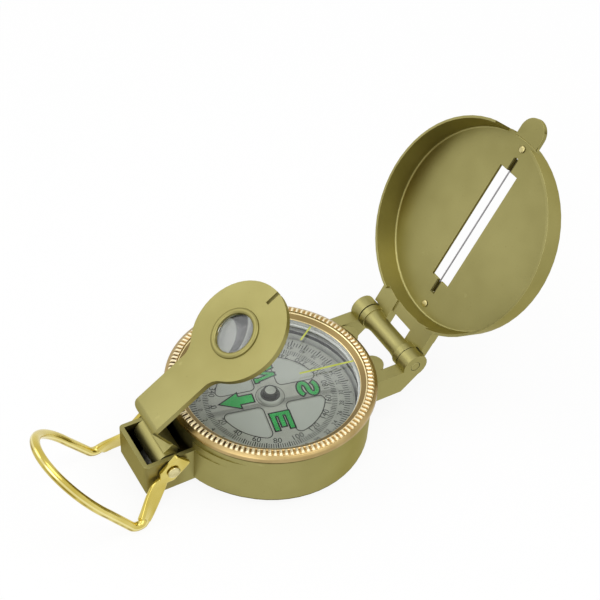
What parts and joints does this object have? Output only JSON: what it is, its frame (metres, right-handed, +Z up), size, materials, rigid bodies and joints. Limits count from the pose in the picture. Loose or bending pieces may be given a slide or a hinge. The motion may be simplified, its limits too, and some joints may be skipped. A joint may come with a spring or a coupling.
{
  "type": "lensatic compass",
  "caption": "Open lensatic pocket compass: round case with turning bezel and card, hinged lid with sight wire, folding magnifier eyepiece and thumb loop.",
  "frame": {"origin": "centre of the round case's flat underside", "axes": "+Z up out of the case, +Y from the tail box toward the lid hinge, +X to the right seen from the tail"},
  "size_m": [0.057, 0.1381, 0.0777],
  "materials": {
    "casting": "matte olive-gold coat on a metal casting",
    "bezel_brass": "satin rose-gold plated brass",
    "loop_brass": "semi-bright brass",
    "steel": "plain drawn steel",
    "capsule_white": "off-white moulded plastic",
    "card_white": "printed off-white plastic",
    "magnet": "dark sintered magnet",
    "clear": "clear polished"
  },
  "bodies": {
    "case": {"case_shell": "casting", "capsule_cup": "capsule_white", "capsule_window": "clear", "pivot_post": "steel", "bezel_spring": "steel", "lid_hinge_pin": "loop_brass", "eyepiece_hinge_pin": "steel", "eyepiece_leaf_spring": "steel"},
    "bezel": {"bezel_ring": "bezel_brass", "bezel_glass": "clear", "glass_retainer": "bezel_brass"},
    "dial": {"dial_card": "card_white", "dial_hub": "card_white", "dial_magnet": "magnet", "pivot_jewel": "clear"},
    "lid": {"lid_shell": "casting", "sighting_wire": "steel", "wire_rivet_hinge_end": "loop_brass", "wire_rivet_tab_end": "loop_brass"},
    "eyepiece": {"eyepiece_bracket": "casting", "lens_ring": "casting", "magnifying_lens": "clear"},
    "loop": {"thumb_loop": "loop_brass"}
  },
  "joints": [
    {"name": "lid_hinge", "type": "hinge", "parent": "case", "child": "lid", "pos_m": [0, 0.036, 0.0161], "axis": [-1, 0, 0], "range_deg": [-118, 62]},
    {"name": "eyepiece_hinge", "type": "hinge", "parent": "case", "child": "eyepiece", "pos_m": [0, -0.0323, 0.0079], "axis": [1, 0, 0], "range_deg": [-35.5, 54.5]},
    {"name": "thumb_loop_hinge", "type": "hinge", "parent": "case", "child": "loop", "pos_m": [0, -0.0323, 0.0079], "axis": [-1, 0, 0], "range_deg": [-44, 65]},
    {"name": "bezel_turn", "type": "hinge", "parent": "case", "child": "bezel", "pos_m": [0, 0, 0.0161], "axis": [0, 0, 1], "continuous": true},
    {"name": "dial_turn", "type": "hinge", "parent": "case", "child": "dial", "pos_m": [0, 0, 0.01], "axis": [0, 0, 1], "continuous": true}
  ],
  "couplings": [
    {"joint": "eyepiece_hinge", "follows": "lid_hinge", "ratio": 0.3}
  ]
}
